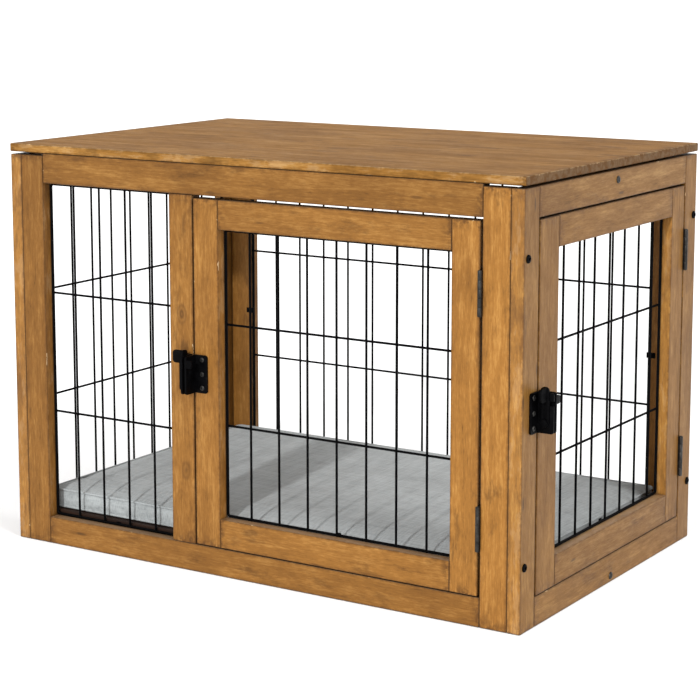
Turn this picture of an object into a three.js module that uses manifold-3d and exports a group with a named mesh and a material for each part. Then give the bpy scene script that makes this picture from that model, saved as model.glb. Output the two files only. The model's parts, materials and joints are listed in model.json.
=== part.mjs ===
// Wooden framed wire pet crate with a table top: two side hung doors, five wire
// grids, a raised floor, a cushion and two lever latches. Millimetres, +Z up, the
// origin in the middle of the underside. Front faces -Y, the second door +X.
import * as THREE from 'three';
import { RoundedBoxGeometry } from 'three/addons/geometries/RoundedBoxGeometry.js';
import * as BufferGeometryUtils from 'three/addons/utils/BufferGeometryUtils.js';
import Module from 'manifold-3d';

const wasm = await Module();
wasm.setup();

// ---- driving dimensions ----
const LENGTH = 912; // over the outer faces of the side panels
const DEPTH = 584;
const HEIGHT = 640;
const TOP_THICKNESS = 13;
const TOP_OVERHANG = 1.5;
const TOP_GAP = 4; // open slot between the side panels and the top board
const STOCK = 21; // thickness of every frame bar
const BAR = 43; // width of the fixed bars
const TOUCH = 0.3; // gap between pieces that rest on each other
const EASE = 1.2; // eased edges of the timber

const MIDDLE_STILE = [-145, -102];
const FRONT_DOOR = { x: [-99.6, 387.6], z: [44.5, 575.4], stile: 44.6, latchStile: 44.6, rail: 44.5 };
const SIDE_DOOR = { x: [-244.5, 245], z: [44.5, 576.6], stile: 44.6, latchStile: 57, rail: 44.5 };

const WIRE_PITCH = 50.8;
const WIRE_DEPTH = 17.3; // grid plane behind the outer face
const BORDER_WIRE = 4.2;
const UPRIGHT = { radius: 1.8, depth: WIRE_DEPTH - 0.3 };
const CROSS = { radius: 1.8, depth: WIRE_DEPTH + 1.6 };
const WIRE_SIDES = 6;

const FLOOR_UNDERSIDE = 44;
const FLOOR_THICKNESS = 6.5;
const CUSHION = { x: [-418, 414], y: [-264, 267], top: 92, round: 11 };

const HINGE_LENGTH = 64;
const HINGE_LOW = 111;
const HINGE_HIGH = 443.5;
const HINGE_PROUD = 3.5; // pin axis in front of the outer face
const KNUCKLE_RADIUS = 3.2;
const KNUCKLES = 5;
const PIN_RADIUS = 1.3;

const LATCH_HEIGHT = 310; // middle of both latches above the ground
const BOLT_HEIGHTS = { lower: 94.6, upper: 526.8 };

// ---- derived dimensions ----
const TOP_UNDERSIDE = HEIGHT - TOP_THICKNESS;
const PANEL_TOP = TOP_UNDERSIDE - TOP_GAP;
const RAIL_UNDERSIDE = PANEL_TOP - BAR;
const HALF_INNER = LENGTH / 2 - STOCK - TOUCH;
const STILE_EDGE = HALF_INNER - BAR;
const SIDE_STILE_EDGE = DEPTH / 2 - BAR;

// ---- materials ----
const material = (color, roughness, metalness) =>
  new THREE.MeshStandardMaterial({ color, roughness, metalness });
const PINE = 0xa8743c;
const PINE_TOP = 0x9a6a3a;
const PINE_SIDE = 0x93683f;
const DARK_BOARD = 0x3a241a;
const BLACK_WIRE = 0x131313;
const BLACK_STEEL = 0x191919;
const HINGE_STEEL = 0x4a4742;
const LINEN = 0xb9bbb9;

// ---- geometry helpers ----
const middle = ([low, high]) => (low + high) / 2;

function block(xs, ys, zs, radius = EASE, segments = 1) {
  const [width, depth, height] = [xs, ys, zs].map(([low, high]) => high - low);
  const geometry = new RoundedBoxGeometry(width, depth, height, segments, radius);
  return geometry.translate(middle(xs), middle(ys), middle(zs));
}

function sharpBlock(xs, ys, zs) {
  const [width, depth, height] = [xs, ys, zs].map(([low, high]) => high - low);
  return new THREE.BoxGeometry(width, depth, height).translate(middle(xs), middle(ys), middle(zs));
}

// A round bar between two values on one axis ('x', 'y' or 'z').
function rod(axis, from, to, centre, radius, sides) {
  const geometry = new THREE.CylinderGeometry(radius, radius, to - from, sides);
  if (axis === 'x') geometry.rotateZ(Math.PI / 2);
  if (axis === 'z') geometry.rotateX(Math.PI / 2);
  const place = new THREE.Vector3(...centre);
  place[axis] = (from + to) / 2;
  return geometry.translate(place.x, place.y, place.z);
}

function toSolid(geometry) {
  const bare = geometry.index ? geometry.clone() : BufferGeometryUtils.mergeVertices(geometry);
  bare.deleteAttribute('normal');
  bare.deleteAttribute('uv');
  const merged = BufferGeometryUtils.mergeVertices(bare, 1e-3);
  return new wasm.Manifold(new wasm.Mesh({
    numProp: 3,
    vertProperties: new Float32Array(merged.attributes.position.array),
    triVerts: new Uint32Array(merged.index.array),
  }));
}

function fromSolid(solid) {
  const mesh = solid.getMesh();
  const geometry = new THREE.BufferGeometry();
  geometry.setAttribute('position', new THREE.BufferAttribute(mesh.vertProperties, 3));
  geometry.setIndex(new THREE.BufferAttribute(mesh.triVerts, 1));
  geometry.computeVertexNormals();
  return geometry;
}

const join = (pieces) => pieces.map(toSolid).reduce((whole, piece) => whole.add(piece));
const cut = (solid, tools) => tools.map(toSolid).reduce((rest, tool) => rest.subtract(tool), solid);

function addNode(parent, name, geometry, look) {
  const mesh = new THREE.Mesh(geometry, look);
  mesh.name = name;
  parent.add(mesh);
}

// ---- panels: local X runs across the panel, local Y inwards from its outer face ----
const crate = new THREE.Group();

function addPanel(angle, x, y) {
  const panel = new THREE.Group();
  panel.position.set(x, y, 0);
  panel.rotation.z = angle;
  crate.add(panel);
  return panel;
}

const front = addPanel(0, 0, -DEPTH / 2);
const right = addPanel(Math.PI / 2, LENGTH / 2, 0);
const back = addPanel(Math.PI, 0, DEPTH / 2);
const left = addPanel(-Math.PI / 2, -LENGTH / 2, 0);

// ---- timber ----
const THROUGH = [0, STOCK];
const SHANK_RADIUS = 3;
const HOLE_RADIUS = 3.4;
const BOLT_SIDES = 10;
const BOLT_INSET = STOCK / 2; // bolt axis behind the front or back face
const BOLT_REACH = 26; // into the edge of the front or back stile

// Outer stiles of the front and back panels, drilled in their outer edges.
function addEndStile(panel, name, direction, look) {
  const xs = [direction * STILE_EDGE, direction * HALF_INNER].sort((a, b) => a - b);
  const timber = toSolid(block(xs, THROUGH, [0, PANEL_TOP]));
  const reach = [direction * (HALF_INNER - BOLT_REACH), direction * (HALF_INNER + 1)].sort((a, b) => a - b);
  const holes = Object.values(BOLT_HEIGHTS).map((height) =>
    rod('x', reach[0], reach[1], [0, BOLT_INSET, height], HOLE_RADIUS, BOLT_SIDES));
  addNode(panel, name, fromSolid(cut(timber, holes)), look);
}

// Stiles of the side panels, drilled right through their faces.
function addSideStile(panel, name, direction, look) {
  const xs = [direction * SIDE_STILE_EDGE, direction * DEPTH / 2].sort((a, b) => a - b);
  const timber = toSolid(block(xs, THROUGH, [0, PANEL_TOP]));
  const across = direction * (DEPTH / 2 - BOLT_INSET);
  const holes = Object.values(BOLT_HEIGHTS).map((height) =>
    rod('y', -1, STOCK + 1, [across, 0, height], HOLE_RADIUS, BOLT_SIDES));
  addNode(panel, name, fromSolid(cut(timber, holes)), look);
}

const endRail = [-(STILE_EDGE - TOUCH), STILE_EDGE - TOUCH];
const sideRail = [-(SIDE_STILE_EDGE - TOUCH), SIDE_STILE_EDGE - TOUCH];
const lowRail = [0, BAR];

for (const [panel, side] of [[front, 'front'], [back, 'back']]) {
  const look = material(PINE, 0.62, 0);
  const nearLeft = side === 'front' ? -1 : 1;
  addEndStile(panel, `${side}_left_stile`, nearLeft, look.clone());
  addEndStile(panel, `${side}_right_stile`, -nearLeft, look.clone());
  addNode(panel, `${side}_bottom_rail`, block(endRail, THROUGH, lowRail), look.clone());
  const highRail = [RAIL_UNDERSIDE, TOP_UNDERSIDE - TOUCH];
  addNode(panel, `${side}_top_rail`, block(endRail, THROUGH, highRail, 2), look.clone());
}
const betweenRails = [BAR + TOUCH, RAIL_UNDERSIDE - TOUCH];
addNode(front, 'front_middle_stile', block(MIDDLE_STILE, THROUGH, betweenRails), material(PINE, 0.62, 0));

for (const [panel, side] of [[right, 'right'], [left, 'left']]) {
  const look = material(PINE_SIDE, 0.64, 0);
  const nearFront = side === 'right' ? -1 : 1;
  addSideStile(panel, `${side}_side_front_stile`, nearFront, look.clone());
  addSideStile(panel, `${side}_side_rear_stile`, -nearFront, look.clone());
  addNode(panel, `${side}_side_bottom_rail`, block(sideRail, THROUGH, lowRail), look.clone());
  addNode(panel, `${side}_side_top_rail`,
    block(sideRail, THROUGH, [RAIL_UNDERSIDE, PANEL_TOP]), look.clone());
}

// ---- doors: two stiles with two rails between them ----
function addDoor(panel, name, door, look) {
  const [xLow, xHigh] = door.x;
  const [zLow, zHigh] = door.z;
  const window = {
    x: [xLow + door.latchStile, xHigh - door.stile],
    z: [zLow + door.rail, zHigh - door.rail],
  };
  const rails = [window.x[0] + TOUCH, window.x[1] - TOUCH];
  addNode(panel, `${name}_latch_stile`, block([xLow, window.x[0]], THROUGH, door.z), look.clone());
  addNode(panel, `${name}_hinge_stile`, block([window.x[1], xHigh], THROUGH, door.z), look.clone());
  addNode(panel, `${name}_bottom_rail`, block(rails, THROUGH, [zLow, window.z[0]]), look.clone());
  addNode(panel, `${name}_top_rail`, block(rails, THROUGH, [window.z[1], zHigh]), look.clone());
  return window;
}

const frontWindow = addDoor(front, 'front_door', FRONT_DOOR, material(PINE, 0.6, 0));
const sideWindow = addDoor(right, 'side_door', SIDE_DOOR, material(PINE_SIDE, 0.62, 0));

// ---- top, floor and the bars that carry them ----
const topX = LENGTH / 2 + TOP_OVERHANG;
addNode(crate, 'top_board',
  block([-topX, topX], [-DEPTH / 2, DEPTH / 2], [TOP_UNDERSIDE, HEIGHT], 1.6), material(PINE_TOP, 0.55, 0));

const SUPPORT_HALF = 10;
const SUPPORT_DEPTH = 36;
const barX = [-HALF_INNER, HALF_INNER];
const barY = [-SUPPORT_HALF, SUPPORT_HALF];
const underTop = TOP_UNDERSIDE - TOUCH;
addNode(crate, 'top_support_bar',
  block(barX, barY, [underTop - SUPPORT_DEPTH, underTop]), material(PINE_SIDE, 0.66, 0));
const underFloor = FLOOR_UNDERSIDE - TOUCH;
addNode(crate, 'floor_support_bar', block(barX, barY, [0, underFloor]), material(PINE_SIDE, 0.66, 0));

const CLEAT = { depth: 15, height: 20, half: 428 };
for (const [panel, side] of [[front, 'front'], [back, 'rear']]) {
  const ys = [STOCK + TOUCH, STOCK + TOUCH + CLEAT.depth];
  addNode(panel, `${side}_floor_cleat`,
    block([-CLEAT.half, CLEAT.half], ys, [underFloor - CLEAT.height, underFloor]),
    material(PINE_SIDE, 0.68, 0));
}

const floorX = LENGTH / 2 - STOCK - 2 * TOUCH;
const floorY = DEPTH / 2 - STOCK - 2 * TOUCH;
const floorTop = FLOOR_UNDERSIDE + FLOOR_THICKNESS;
addNode(crate, 'floor_board',
  block([-floorX, floorX], [-floorY, floorY], [FLOOR_UNDERSIDE, floorTop], 0.8),
  material(DARK_BOARD, 0.7, 0));
addNode(crate, 'cushion',
  block(CUSHION.x, CUSHION.y, [floorTop + TOUCH, CUSHION.top], CUSHION.round, 2), material(LINEN, 0.95, 0));

// ---- wire grids ----
const BORDER_INSET = BORDER_WIRE / 2 + 0.5; // border centre line inside the opening
const BORDER_BEND = 4;
const CHAMFER = 1;

function borderShape(halfX, halfZ, bend) {
  const shape = new THREE.Shape();
  shape.moveTo(-halfX + bend, -halfZ);
  shape.lineTo(halfX - bend, -halfZ);
  shape.absarc(halfX - bend, -halfZ + bend, bend, -Math.PI / 2, 0);
  shape.absarc(halfX - bend, halfZ - bend, bend, 0, Math.PI / 2);
  shape.absarc(-halfX + bend, halfZ - bend, bend, Math.PI / 2, Math.PI);
  shape.absarc(-halfX + bend, -halfZ + bend, bend, Math.PI, 1.5 * Math.PI);
  shape.closePath();
  return shape;
}

// A flat ring with chamfered edges, standing in the panel's plane.
function border(xs, zs) {
  const halfX = (xs[1] - xs[0]) / 2;
  const halfZ = (zs[1] - zs[0]) / 2;
  const core = BORDER_WIRE / 2 - CHAMFER;
  const shape = borderShape(halfX + core, halfZ + core, BORDER_BEND + core);
  shape.holes.push(borderShape(halfX - core, halfZ - core, BORDER_BEND - core));
  const ring = new THREE.ExtrudeGeometry(shape, {
    depth: 2 * core, steps: 1, curveSegments: 3,
    bevelEnabled: true, bevelThickness: CHAMFER, bevelSize: CHAMFER, bevelSegments: 1,
  });
  ring.translate(0, 0, -core);
  ring.rotateX(Math.PI / 2);
  return ring.translate(middle(xs), WIRE_DEPTH, middle(zs));
}

// The grid fills an opening: uprights stand at the wire pitch about one centre.
function addGrid({ panel, name, opening, centre, count, crosses }) {
  const xs = opening.x.map((x, end) => x + (end === 0 ? BORDER_INSET : -BORDER_INSET));
  const zs = [opening.z[0] + TOUCH + BORDER_WIRE / 2, opening.z[1] - BORDER_INSET];
  const pieces = [border(xs, zs)];
  for (let index = 0; index < count; index += 1) {
    const x = centre + (index - (count - 1) / 2) * WIRE_PITCH;
    pieces.push(rod('z', zs[0], zs[1], [x, UPRIGHT.depth, 0], UPRIGHT.radius, WIRE_SIDES));
  }
  for (const height of crosses) {
    pieces.push(rod('x', xs[0], xs[1], [0, CROSS.depth, height], CROSS.radius, WIRE_SIDES));
  }
  addNode(panel, name, fromSolid(join(pieces)), material(BLACK_WIRE, 0.42, 0.4));
}

const betweenStiles = (low, high) => ({ x: [low, high], z: [BAR, RAIL_UNDERSIDE] });
const GRIDS = [
  {
    panel: front, name: 'front_fixed_grid', opening: betweenStiles(-STILE_EDGE, MIDDLE_STILE[0]),
    centre: -267.7, count: 4, crosses: [213.5, 404.6],
  },
  {
    panel: front, name: 'front_door_grid', opening: frontWindow,
    centre: 143.7, count: 7, crosses: [231, 386],
  },
  { panel: right, name: 'side_door_grid', opening: sideWindow, centre: 13, count: 7, crosses: [227, 393] },
  {
    panel: left, name: 'left_side_grid', opening: betweenStiles(-SIDE_STILE_EDGE, SIDE_STILE_EDGE),
    centre: 16, count: 9, crosses: [226, 400.6],
  },
  {
    panel: back, name: 'back_grid', opening: betweenStiles(-STILE_EDGE, STILE_EDGE),
    centre: 9, count: 14, crosses: [213.5, 404.6],
  },
];
GRIDS.forEach(addGrid);

// ---- hinges: interleaved knuckles on a pin that is staked in the frame leaf ----
const LEAF_THICKNESS = 1.2;
const LEAF_OFFSET = 0.5; // from the pin axis plane to the leaf
const LEAF_DEPTH = 21;
const LEAF_CLEAR = 3.7; // where a leaf starts behind the other leaf's knuckles
const KNUCKLE_GAP = 0.4;
const HINGE_SIDES = 12;

// direction +1 makes the leaf on the frame, -1 the one on the door.
function leaf(x, z, direction, firstKnuckle) {
  const span = [x + direction * LEAF_OFFSET, x + direction * (LEAF_OFFSET + LEAF_THICKNESS)];
  const xs = span.sort((a, b) => a - b);
  const ys = [-HINGE_PROUD + LEAF_CLEAR, -HINGE_PROUD + LEAF_DEPTH];
  const pieces = [sharpBlock(xs, ys, [z, z + HINGE_LENGTH])];
  const step = HINGE_LENGTH / KNUCKLES;
  for (let index = firstKnuckle; index < KNUCKLES; index += 2) {
    const low = z + index * step + (index > 0 ? KNUCKLE_GAP / 2 : 0);
    const high = z + (index + 1) * step - (index < KNUCKLES - 1 ? KNUCKLE_GAP / 2 : 0);
    pieces.push(rod('z', low, high, [x, -HINGE_PROUD, 0], KNUCKLE_RADIUS, HINGE_SIDES));
    pieces.push(sharpBlock(xs, [-HINGE_PROUD + 1.8, -HINGE_PROUD + LEAF_CLEAR + 1], [low, high]));
  }
  return join(pieces);
}

function addHinge(panel, name, x, z) {
  const pin = rod('z', z - 1, z + HINGE_LENGTH + 1, [x, -HINGE_PROUD, 0], PIN_RADIUS, HINGE_SIDES);
  const frameLeaf = leaf(x, z, 1, 0).add(toSolid(pin));
  const bore = rod('z', z - 2, z + HINGE_LENGTH + 2, [x, -HINGE_PROUD, 0], PIN_RADIUS + 0.4, HINGE_SIDES);
  const doorLeaf = cut(leaf(x, z, -1, 1), [bore]);
  addNode(panel, `${name}_frame_leaf_and_pin`, fromSolid(frameLeaf), material(HINGE_STEEL, 0.4, 0.8));
  addNode(panel, `${name}_door_leaf`, fromSolid(doorLeaf), material(HINGE_STEEL, 0.4, 0.8));
}

const frontHingeX = (FRONT_DOOR.x[1] + STILE_EDGE) / 2;
const sideHingeX = (SIDE_DOOR.x[1] + SIDE_STILE_EDGE) / 2;
for (const [panel, side, x] of [[front, 'front', frontHingeX], [right, 'side', sideHingeX]]) {
  addHinge(panel, `${side}_upper_hinge`, x, HINGE_HIGH);
  addHinge(panel, `${side}_lower_hinge`, x, HINGE_LOW);
}

// ---- latches: a forked body, a lever on its rivet, and a keeper with a striker pin ----
const PLATE = { near: 2.3, far: 26, low: TOUCH, high: 2.8, half: 29, round: 4 };
const WEB = { thickness: 3, reach: 27, round: 3.5 };
const SLOT = { floor: 5.5, low: 10.2, high: 17.2 };
const RIVET = { out: 14, down: -14, radius: 2.6, head: 6, headHeight: 2.3 };
const LEVER = { thickness: 3, foot: 7.5, inner: 8.5, outer: 21, top: 37, round: 5 };
const THUMB = { far: 26, low: 17, top: 36.5, out: 15.5, thickness: 3, round: 5 };
const STRIKER = { out: 9, up: 13.7, radius: 2.4, head: 4, headHeight: 2.3 };
const EAR = { far: 15, low: 12, high: 24, thickness: 2.5, round: 3 };
const ROUND_SIDES = 12;

function roundedRectangle(left0, right0, low, high, radius) {
  const shape = new THREE.Shape();
  shape.moveTo(left0 + radius, low);
  shape.lineTo(right0 - radius, low);
  shape.absarc(right0 - radius, low + radius, radius, -Math.PI / 2, 0);
  shape.absarc(right0 - radius, high - radius, radius, 0, Math.PI / 2);
  shape.absarc(left0 + radius, high - radius, radius, Math.PI / 2, Math.PI);
  shape.absarc(left0 + radius, low + radius, radius, Math.PI, 1.5 * Math.PI);
  shape.closePath();
  return shape;
}

// A sheet parallel to the panel: the outline is drawn across and up.
function faceSheet(shape, out, thickness) {
  const sheet = new THREE.ExtrudeGeometry(shape, { depth: thickness, bevelEnabled: false, curveSegments: 4 });
  return sheet.rotateX(Math.PI / 2).translate(0, -out, 0);
}

// A sheet that stands out of the panel: the outline is drawn outwards and up.
function standingSheet(shape, x, thickness) {
  const sheet = new THREE.ExtrudeGeometry(shape, { depth: thickness, bevelEnabled: false, curveSegments: 4 });
  return sheet.rotateX(Math.PI / 2).rotateZ(-Math.PI / 2).translate(x + thickness, 0, 0);
}

// Outline of a sheet from the face out to reach, with its two outer corners rounded.
function webOutline(reach, half, radius) {
  const shape = new THREE.Shape();
  shape.moveTo(TOUCH, -half);
  shape.lineTo(reach - radius, -half);
  shape.absarc(reach - radius, -half + radius, radius, -Math.PI / 2, 0);
  shape.absarc(reach - radius, half - radius, radius, 0, Math.PI / 2);
  shape.lineTo(TOUCH, half);
  shape.closePath();
  return shape;
}

function screwPlate(from, to) {
  const outline = roundedRectangle(from, to, -PLATE.half, PLATE.half, PLATE.round);
  return faceSheet(outline, PLATE.low, PLATE.high - PLATE.low);
}

function latchBody() {
  const plate = screwPlate(-PLATE.far, -PLATE.near);
  const webInner = -PLATE.near - WEB.thickness;
  const web = standingSheet(webOutline(WEB.reach, PLATE.half, WEB.round), webInner, WEB.thickness);
  const slot = sharpBlock([webInner - 1, 0], [-WEB.reach - 1, -SLOT.floor], [SLOT.low, SLOT.high]);
  const centre = [0, -RIVET.out, RIVET.down];
  const headFace = webInner - LEVER.thickness - 2 * TOUCH;
  const shank = rod('x', headFace - 1, webInner + 1, centre, RIVET.radius, ROUND_SIDES);
  const head = rod('x', headFace - RIVET.headHeight, headFace, centre, RIVET.head, ROUND_SIDES);
  return cut(join([plate, web]), [slot]).add(join([shank, head]));
}

function leverOutline() {
  const { inner, outer, top, round, foot } = LEVER;
  const shape = new THREE.Shape();
  shape.absarc(RIVET.out, RIVET.down, foot, Math.PI, 2 * Math.PI);
  shape.lineTo(outer, top - round);
  shape.absarc(outer - round, top - round, round, 0, Math.PI / 2);
  shape.absarc(inner + round, top - round, round, Math.PI / 2, Math.PI);
  shape.closePath();
  return shape;
}

function latchLever() {
  const x = -PLATE.near - WEB.thickness - TOUCH - LEVER.thickness;
  const arm = standingSheet(leverOutline(), x, LEVER.thickness);
  const thumbOutline = roundedRectangle(-THUMB.far, x + LEVER.thickness, THUMB.low, THUMB.top, THUMB.round);
  const thumb = faceSheet(thumbOutline, THUMB.out, THUMB.thickness);
  const centre = [0, -RIVET.out, RIVET.down];
  const hole = rod('x', x - 1, x + LEVER.thickness + 1, centre, RIVET.radius + 0.4, ROUND_SIDES);
  return cut(join([arm, thumb]), [hole]);
}

function latchKeeper() {
  const plate = screwPlate(PLATE.near, PLATE.far);
  const flange = standingSheet(webOutline(WEB.reach, PLATE.half, WEB.round), PLATE.near, WEB.thickness);
  const earOut = WEB.reach - EAR.thickness;
  const earOutline = roundedRectangle(PLATE.near, EAR.far, EAR.low, EAR.high, EAR.round);
  const ear = faceSheet(earOutline, earOut, EAR.thickness);
  const centre = [0, -STRIKER.out, STRIKER.up];
  const tip = -PLATE.near - WEB.thickness + 0.5;
  const pin = rod('x', tip, PLATE.near + 1, centre, STRIKER.radius, ROUND_SIDES);
  const headFace = PLATE.near + WEB.thickness;
  const head = rod('x', headFace - 0.5, headFace + STRIKER.headHeight, centre, STRIKER.head, ROUND_SIDES);
  return join([plate, flange, ear, pin, head]);
}

function addLatch(panel, name, x) {
  const pieces = { latch_body: latchBody(), latch_lever: latchLever(), latch_keeper: latchKeeper() };
  for (const [piece, solid] of Object.entries(pieces)) {
    const geometry = fromSolid(solid).translate(x, 0, LATCH_HEIGHT);
    addNode(panel, `${name}_${piece}`, geometry, material(BLACK_STEEL, 0.38, 0.6));
  }
}

addLatch(front, 'front', (MIDDLE_STILE[1] + FRONT_DOOR.x[0]) / 2);
addLatch(right, 'side', (SIDE_DOOR.x[0] - SIDE_STILE_EDGE) / 2);

// ---- corner bolts: through the side stiles into the front and back stiles ----
const HEAD_RADIUS = 6;
const HEAD_HEIGHT = 2.6;
const BOLT_LENGTH = STOCK + BOLT_REACH - 2;

function boltGeometry() {
  const profile = [
    [0, -BOLT_LENGTH], [SHANK_RADIUS, -BOLT_LENGTH], [SHANK_RADIUS, 0], [HEAD_RADIUS, 0],
    [HEAD_RADIUS * 0.85, HEAD_HEIGHT * 0.7], [HEAD_RADIUS * 0.45, HEAD_HEIGHT], [0, HEAD_HEIGHT],
  ].map(([radius, height]) => new THREE.Vector2(radius, height));
  return new THREE.LatheGeometry(profile, BOLT_SIDES);
}

for (const [side, direction] of [['right', 1], ['left', -1]]) {
  for (const [end, along] of [['front', -1], ['rear', 1]]) {
    for (const [level, height] of Object.entries(BOLT_HEIGHTS)) {
      const geometry = boltGeometry().rotateZ(-direction * Math.PI / 2);
      geometry.translate(
        direction * (LENGTH / 2 + TOUCH), along * (DEPTH / 2 - BOLT_INSET), height);
      addNode(crate, `${side}_${end}_${level}_bolt`, geometry, material(BLACK_STEEL, 0.45, 0.6));
    }
  }
}

export default crate;
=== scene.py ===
"""Looks of a wooden framed pet crate: timber, round wire grids, cushion, fasteners, light and camera."""

import json
import math
import random

import bmesh
import bpy
from mathutils import Matrix, Vector, noise


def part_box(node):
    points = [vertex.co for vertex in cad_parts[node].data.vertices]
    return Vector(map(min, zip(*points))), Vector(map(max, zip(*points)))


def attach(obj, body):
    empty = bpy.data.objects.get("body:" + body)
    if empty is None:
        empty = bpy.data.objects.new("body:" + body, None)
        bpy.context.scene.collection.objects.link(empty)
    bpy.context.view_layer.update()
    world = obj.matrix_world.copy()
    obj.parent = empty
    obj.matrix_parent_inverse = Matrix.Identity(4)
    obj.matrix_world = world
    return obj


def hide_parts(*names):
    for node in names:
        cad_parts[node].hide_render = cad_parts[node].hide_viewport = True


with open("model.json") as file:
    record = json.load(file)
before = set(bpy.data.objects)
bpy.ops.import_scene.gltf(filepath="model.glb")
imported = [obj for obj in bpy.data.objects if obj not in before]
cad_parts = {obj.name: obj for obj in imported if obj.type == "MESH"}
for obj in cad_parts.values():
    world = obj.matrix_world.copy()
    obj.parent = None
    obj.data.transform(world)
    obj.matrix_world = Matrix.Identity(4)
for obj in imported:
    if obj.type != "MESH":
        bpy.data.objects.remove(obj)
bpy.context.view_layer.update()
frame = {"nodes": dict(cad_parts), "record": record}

MM = 0.001
CABINET = "cabinet"
FRONT_DOOR = "front_door"
SIDE_DOOR = "side_door"


# ---------------------------------------------------------------- panels
def panel_matrix(origin, across, inward):
    """Panel space to object space: X across as seen from outside, Y inwards, Z up."""
    across, inward, up = Vector(across), Vector(inward), Vector((0, 0, 1))
    return Matrix.LocRotScale(Vector(origin), Matrix((across, inward, up)).transposed(), None)


front_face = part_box("front_left_stile")[0].y
back_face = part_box("back_left_stile")[1].y
right_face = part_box("right_side_front_stile")[1].x
left_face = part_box("left_side_front_stile")[0].x
PANELS = {
    "front": panel_matrix((0, front_face, 0), (1, 0, 0), (0, 1, 0)),
    "right": panel_matrix((right_face, 0, 0), (0, 1, 0), (-1, 0, 0)),
    "back": panel_matrix((0, back_face, 0), (-1, 0, 0), (0, -1, 0)),
    "left": panel_matrix((left_face, 0, 0), (0, -1, 0), (1, 0, 0)),
}


# ---------------------------------------------------------------- node materials
class Shader:
    """A material's node tree, written as calls. Inputs are numbers, colours or other sockets."""

    def __init__(self, name):
        self.material = bpy.data.materials.new(name)
        self.material.use_nodes = True
        self.tree = self.material.node_tree
        self.surface = self.tree.nodes["Principled BSDF"]

    def plug(self, node, **inputs):
        for key, value in inputs.items():
            socket = node.inputs[key.replace("_", " ")]
            if isinstance(value, bpy.types.NodeSocket):
                self.tree.links.new(value, socket)
            else:
                socket.default_value = value

    def add(self, kind, settings=None, **inputs):
        node = self.tree.nodes.new("ShaderNode" + kind)
        for key, value in (settings or {}).items():
            setattr(node, key, value)
        self.plug(node, **inputs)
        return node

    def place(self, scale=(1, 1, 1), offset=(0, 0, 0)):
        point = self.add("TexCoord").outputs["Object"]
        mapping = self.add("Mapping", None, Vector=point, Scale=scale, Location=offset)
        return mapping.outputs["Vector"]

    def noise(self, vector, scale, detail=2.0, roughness=0.5, distortion=0.0):
        node = self.add("TexNoise", None, Vector=vector, Scale=scale, Detail=detail, Roughness=roughness)
        node.inputs["Distortion"].default_value = distortion
        return node.outputs["Fac"]

    def math(self, operation, first, second=0.0):
        node = self.add("Math", {"operation": operation})
        for socket, value in zip(node.inputs, (first, second)):
            if isinstance(value, bpy.types.NodeSocket):
                self.tree.links.new(value, socket)
            else:
                socket.default_value = value
        return node.outputs["Value"]

    def span(self, value, low, high, to_low=0.0, to_high=1.0):
        node = self.add("MapRange", {"interpolation_type": "SMOOTHSTEP"}, Value=value)
        for key, number in zip(("From Min", "From Max", "To Min", "To Max"), (low, high, to_low, to_high)):
            node.inputs[key].default_value = number
        return node.outputs["Result"]

    def ramp(self, factor, stops):
        node = self.add("ValToRGB", None, Fac=factor)
        elements = node.color_ramp.elements
        while len(elements) < len(stops):
            elements.new(0.5)
        for element, (position, colour) in zip(elements, stops):
            element.position = position
            element.color = (*colour, 1)
        return node.outputs["Color"]

    def mix(self, factor, first, second, blend="MIX"):
        node = self.add("Mix", {"data_type": "RGBA", "blend_type": blend})
        for index, value in ((0, factor), (6, first), (7, second)):
            if isinstance(value, bpy.types.NodeSocket):
                self.tree.links.new(value, node.inputs[index])
            else:
                node.inputs[index].default_value = value if index == 0 else (*value, 1)
        return node.outputs[2]

    def bump(self, height, strength, distance):
        node = self.add("Bump", None, Height=height, Strength=strength, Distance=distance)
        return node.outputs["Normal"]


def shade(colour, factor):
    return tuple(channel * factor for channel in colour)


def tinted(colour, factors):
    return tuple(channel * factor for channel, factor in zip(colour, factors))


# Linear colours of the stained pine, from deep streaks to pale early wood.
PINE_DARK = (0.118, 0.047, 0.009)
PINE_MID = (0.275, 0.118, 0.021)
PINE_PALE = (0.420, 0.210, 0.052)
# Linear colours mixed over it: dirt and painted shade, stained end grain, bare wood for chips and
# painted highlights, and a grey for level faces.
DIRT_AND_SHADE = (0.022, 0.011, 0.005)
END_GRAIN = (0.090, 0.062, 0.040)
RAW_WOOD_AND_HIGHLIGHT = (0.62, 0.45, 0.26)
LEVEL_FACE_GREY = (0.20, 0.145, 0.095)


def board_distances(shader, low, high):
    """How deep a point lies under each pair of a board's faces, and how far it is from the nearest edge."""
    point = shader.add("TexCoord").outputs["Object"]
    centred = shader.add("VectorMath", {"operation": "SUBTRACT"})
    shader.tree.links.new(point, centred.inputs[0])
    centred.inputs[1].default_value = (low + high) / 2
    away = shader.add("VectorMath", {"operation": "ABSOLUTE"})
    shader.tree.links.new(centred.outputs[0], away.inputs[0])
    depth = shader.add("VectorMath", {"operation": "SUBTRACT"})
    depth.inputs[0].default_value = (high - low) / 2
    shader.tree.links.new(away.outputs[0], depth.inputs[1])
    split = shader.add("SeparateXYZ", None, Vector=depth.outputs[0]).outputs
    least = shader.math("MINIMUM", split[0], split[1])
    most = shader.math("MAXIMUM", split[0], split[1])
    edge = shader.math("MAXIMUM", least, shader.math("MINIMUM", most, split[2]))
    return list(split), edge


def stretched(axis, along):
    """Texture scales that slow a pattern down along the grain."""
    scales = [1.0, 1.0, 1.0]
    scales[axis] = along
    return tuple(scales)


def weighted_sum(shader, parts):
    total = None
    for value, weight in parts:
        scaled = shader.math("MULTIPLY", value, weight)
        total = scaled if total is None else shader.math("ADD", total, scaled)
    return total


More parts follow.
